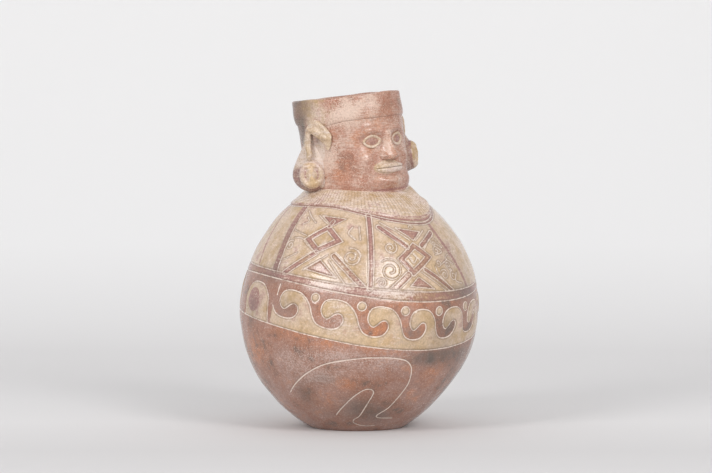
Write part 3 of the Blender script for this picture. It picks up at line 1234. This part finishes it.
def make_collar():
    """A raised band with upright incised ticks and a dark stripe along each edge."""
    columns = TICKS * TICK_COLUMNS
    angles = all_round(columns)
    front = smooth(95, 70, np.abs(angles))
    climb = COLLAR_CLIMB * hump(angles, CLIMB_ANGLE, CLIMB_SPREAD)
    edge = arc_at_height(collar_edge(angles))
    inner = arc_at_shoulder(HEAD_HALF_WIDTH - COLLAR_SEAT - CLIMB_SEAT * climb)
    share = np.concatenate([[[0]], shares(26)])
    rise = lerp(COLLAR_THICKNESS, COLLAR_RISE, smooth(0.3, 1, share)) * np.sqrt(np.clip(share / 0.12, 0, 1))
    tilt = COLLAR_TILT * np.cos(np.radians(angles - HEAD_LEANS_TOWARD))
    rise = rise * lerp(0.5, 1, front) + (tilt + climb) * smooth(0.3, 1.1, share)
    rise[0] = -0.4
    half = TICK_COLUMNS / 2
    tick = np.abs(np.arange(columns) % TICK_COLUMNS - half) / half * math.pi * TICK_RADIUS / TICKS
    inside = smooth(0.04, 0.14, share) * smooth(0.97, 0.8, share) * front
    cut_in = TICK_DEPTH * hump(tick, 0, TICK_WIDTH) * inside
    outer = along_outline(lerp(edge, inner, share), cut_in - rise)
    under = along_outline(lerp(edge, inner, np.array([[1.0], [0.5], [0.02]])), SLIP_JOINT)
    radius, z = (np.vstack(rows) for rows in zip(outer, under))
    fields = even_fields(z.shape, red=0.12, worn=0.5)
    fields["line"][:len(share)] = np.clip(1 - tick, 0, 1) * np.where(inside > 0.5, 0.8, 0)
    fields["plum"][:len(share)] = coded(2.2 * (np.abs(share - 0.5) - 0.43) / 0.07)
    piece("collar", swayed(around(radius, angles, z)), burnished, "cream_slip", wrap_rows=True, fields=fields)


make_body()
make_inner_coils()
make_head()
make_headband()
make_neck_coil()
make_nose()
make_lip("upper_lip", UPPER_LIP, 1, 1)
make_lip("lower_lip", LOWER_LIP, -1, 0)
make_collar()
for side_name, side_sign in (("right", -1), ("left", 1)):
    make_seam_strip(side_name, side_sign)
    make_eye(side_name, side_sign)
    make_ear(side_name, side_sign)
    make_spool(side_name, side_sign)


# Stage: a pale sweep, two soft lamps and a fill at the front, and an even sky.
CAMERA_AZIMUTH, CAMERA_DISTANCE, CAMERA_HEIGHT = -40, 2100, 225
AIM_HEIGHT, AIM_SHIFT, LENS, SENSOR_WIDTH = 118.7, -1.56, 170.5, 36
SWEEP_HALF, SWEEP_BEND_AT, SWEEP_BEND = 3000, 350, 700
# Greys of the sweep, at shares of the way from a line before the jar to the wall.
GREYS_FROM, GREYS_TO = -300, SWEEP_BEND_AT + SWEEP_BEND
FLOOR_FRONT, FLOOR = (0.64, 0.63, 0.635), (0.75, 0.74, 0.745)
WALL_FOOT, WALL = (0.89, 0.885, 0.89), (0.92, 0.915, 0.915)
GREYS = [(0.12, FLOOR_FRONT), (0.24, FLOOR), (0.56, FLOOR), (0.72, WALL_FOOT), (1.0, WALL)]
PAPER_ROUGHNESS = 0.9
# Each lamp: azimuth from the camera, elevation, distance, size and power.
LAMPS = {
    "left_lamp": (-40, 28, 1600, 500, 8.2),
    "right_lamp": (31, 31, 1600, 500, 8.8),
    "front_fill": (0, 10, 2400, 2000, 6),
}
LAMP_AIM_HEIGHT = 100
SKY_COLOUR, SKY_STRENGTH = (1.0, 1.0, 1.0, 1), 0.62

toward_camera, camera_side = direction(CAMERA_AZIMUTH), direction(CAMERA_AZIMUTH + 90)


def at_height(z):
    return Vector((0, 0, z))


def aimed(name, data, place, turn):
    holder = add_to_scene(name, data)
    holder.location = place * MM
    holder.rotation_mode = "QUATERNION"
    holder.rotation_quaternion = turn
    return holder


def make_stage():
    bend = np.linspace(0, math.pi / 2, 24)[1:]
    profile = [(-SWEEP_HALF, 0), (SWEEP_BEND_AT, 0)]
    profile += [(SWEEP_BEND_AT + SWEEP_BEND * math.sin(a), SWEEP_BEND * (1 - math.cos(a))) for a in bend]
    profile.append((GREYS_TO, SWEEP_HALF))
    points = [
        (camera_side * s - toward_camera * d + at_height(z)) * MM
        for d, z in profile for s in (-SWEEP_HALF, SWEEP_HALF)
    ]
    mesh = bpy.data.meshes.new("sweep")
    mesh.from_pydata(points, [], quads(len(profile), 2, False, False).tolist())
    mesh.shade_smooth()
    n = Nodes("paper")
    output = n.shader.outputs[0].links[0].to_socket
    given = {0: n.mm, 1: tuple(-toward_camera)}
    behind = n.make("ShaderNodeVectorMath", given, "Value", operation="DOT_PRODUCT")
    grey = n.ramp(n.range(behind, GREYS_FROM, GREYS_TO, 0, 1), *GREYS)
    mesh.materials.append(n.finish(Base_Color=grey, Roughness=PAPER_ROUGHNESS))
    # From behind, the sweep is clear.
    from_behind = n.make("ShaderNodeNewGeometry", {}, "Backfacing")
    clear = n.make("ShaderNodeBsdfTransparent", {})
    n.put(output, n.make("ShaderNodeMixShader", {0: from_behind, 1: n.shader.outputs[0], 2: clear}))
    add_to_scene("sweep", mesh)


def make_light():
    for name, (aside, elevation, distance, size, power) in LAMPS.items():
        lamp = bpy.data.lights.new(name, "AREA")
        lamp.size = size * MM
        lamp.energy = power
        toward = direction(CAMERA_AZIMUTH + aside) * math.cos(math.radians(elevation))
        toward.z = math.sin(math.radians(elevation))
        place = toward * distance + at_height(LAMP_AIM_HEIGHT)
        aimed(name, lamp, place, toward.to_track_quat("Z", "Y"))
    world = bpy.data.worlds.new("sky")
    world.use_nodes = True
    shade = world.node_tree.nodes["Background"]
    shade.inputs["Color"].default_value = SKY_COLOUR
    shade.inputs["Strength"].default_value = SKY_STRENGTH
    bpy.context.scene.world = world


def make_camera():
    camera = bpy.data.cameras.new("camera")
    camera.sensor_width = SENSOR_WIDTH
    camera.lens = LENS
    aim = camera_side * AIM_SHIFT + at_height(AIM_HEIGHT)
    place = toward_camera * CAMERA_DISTANCE + camera_side * AIM_SHIFT + at_height(CAMERA_HEIGHT)
    bpy.context.scene.camera = aimed("camera", camera, place, (aim - place).to_track_quat("-Z", "Y"))


make_stage()
make_light()
make_camera()
bpy.context.scene.view_settings.view_transform = "Standard"
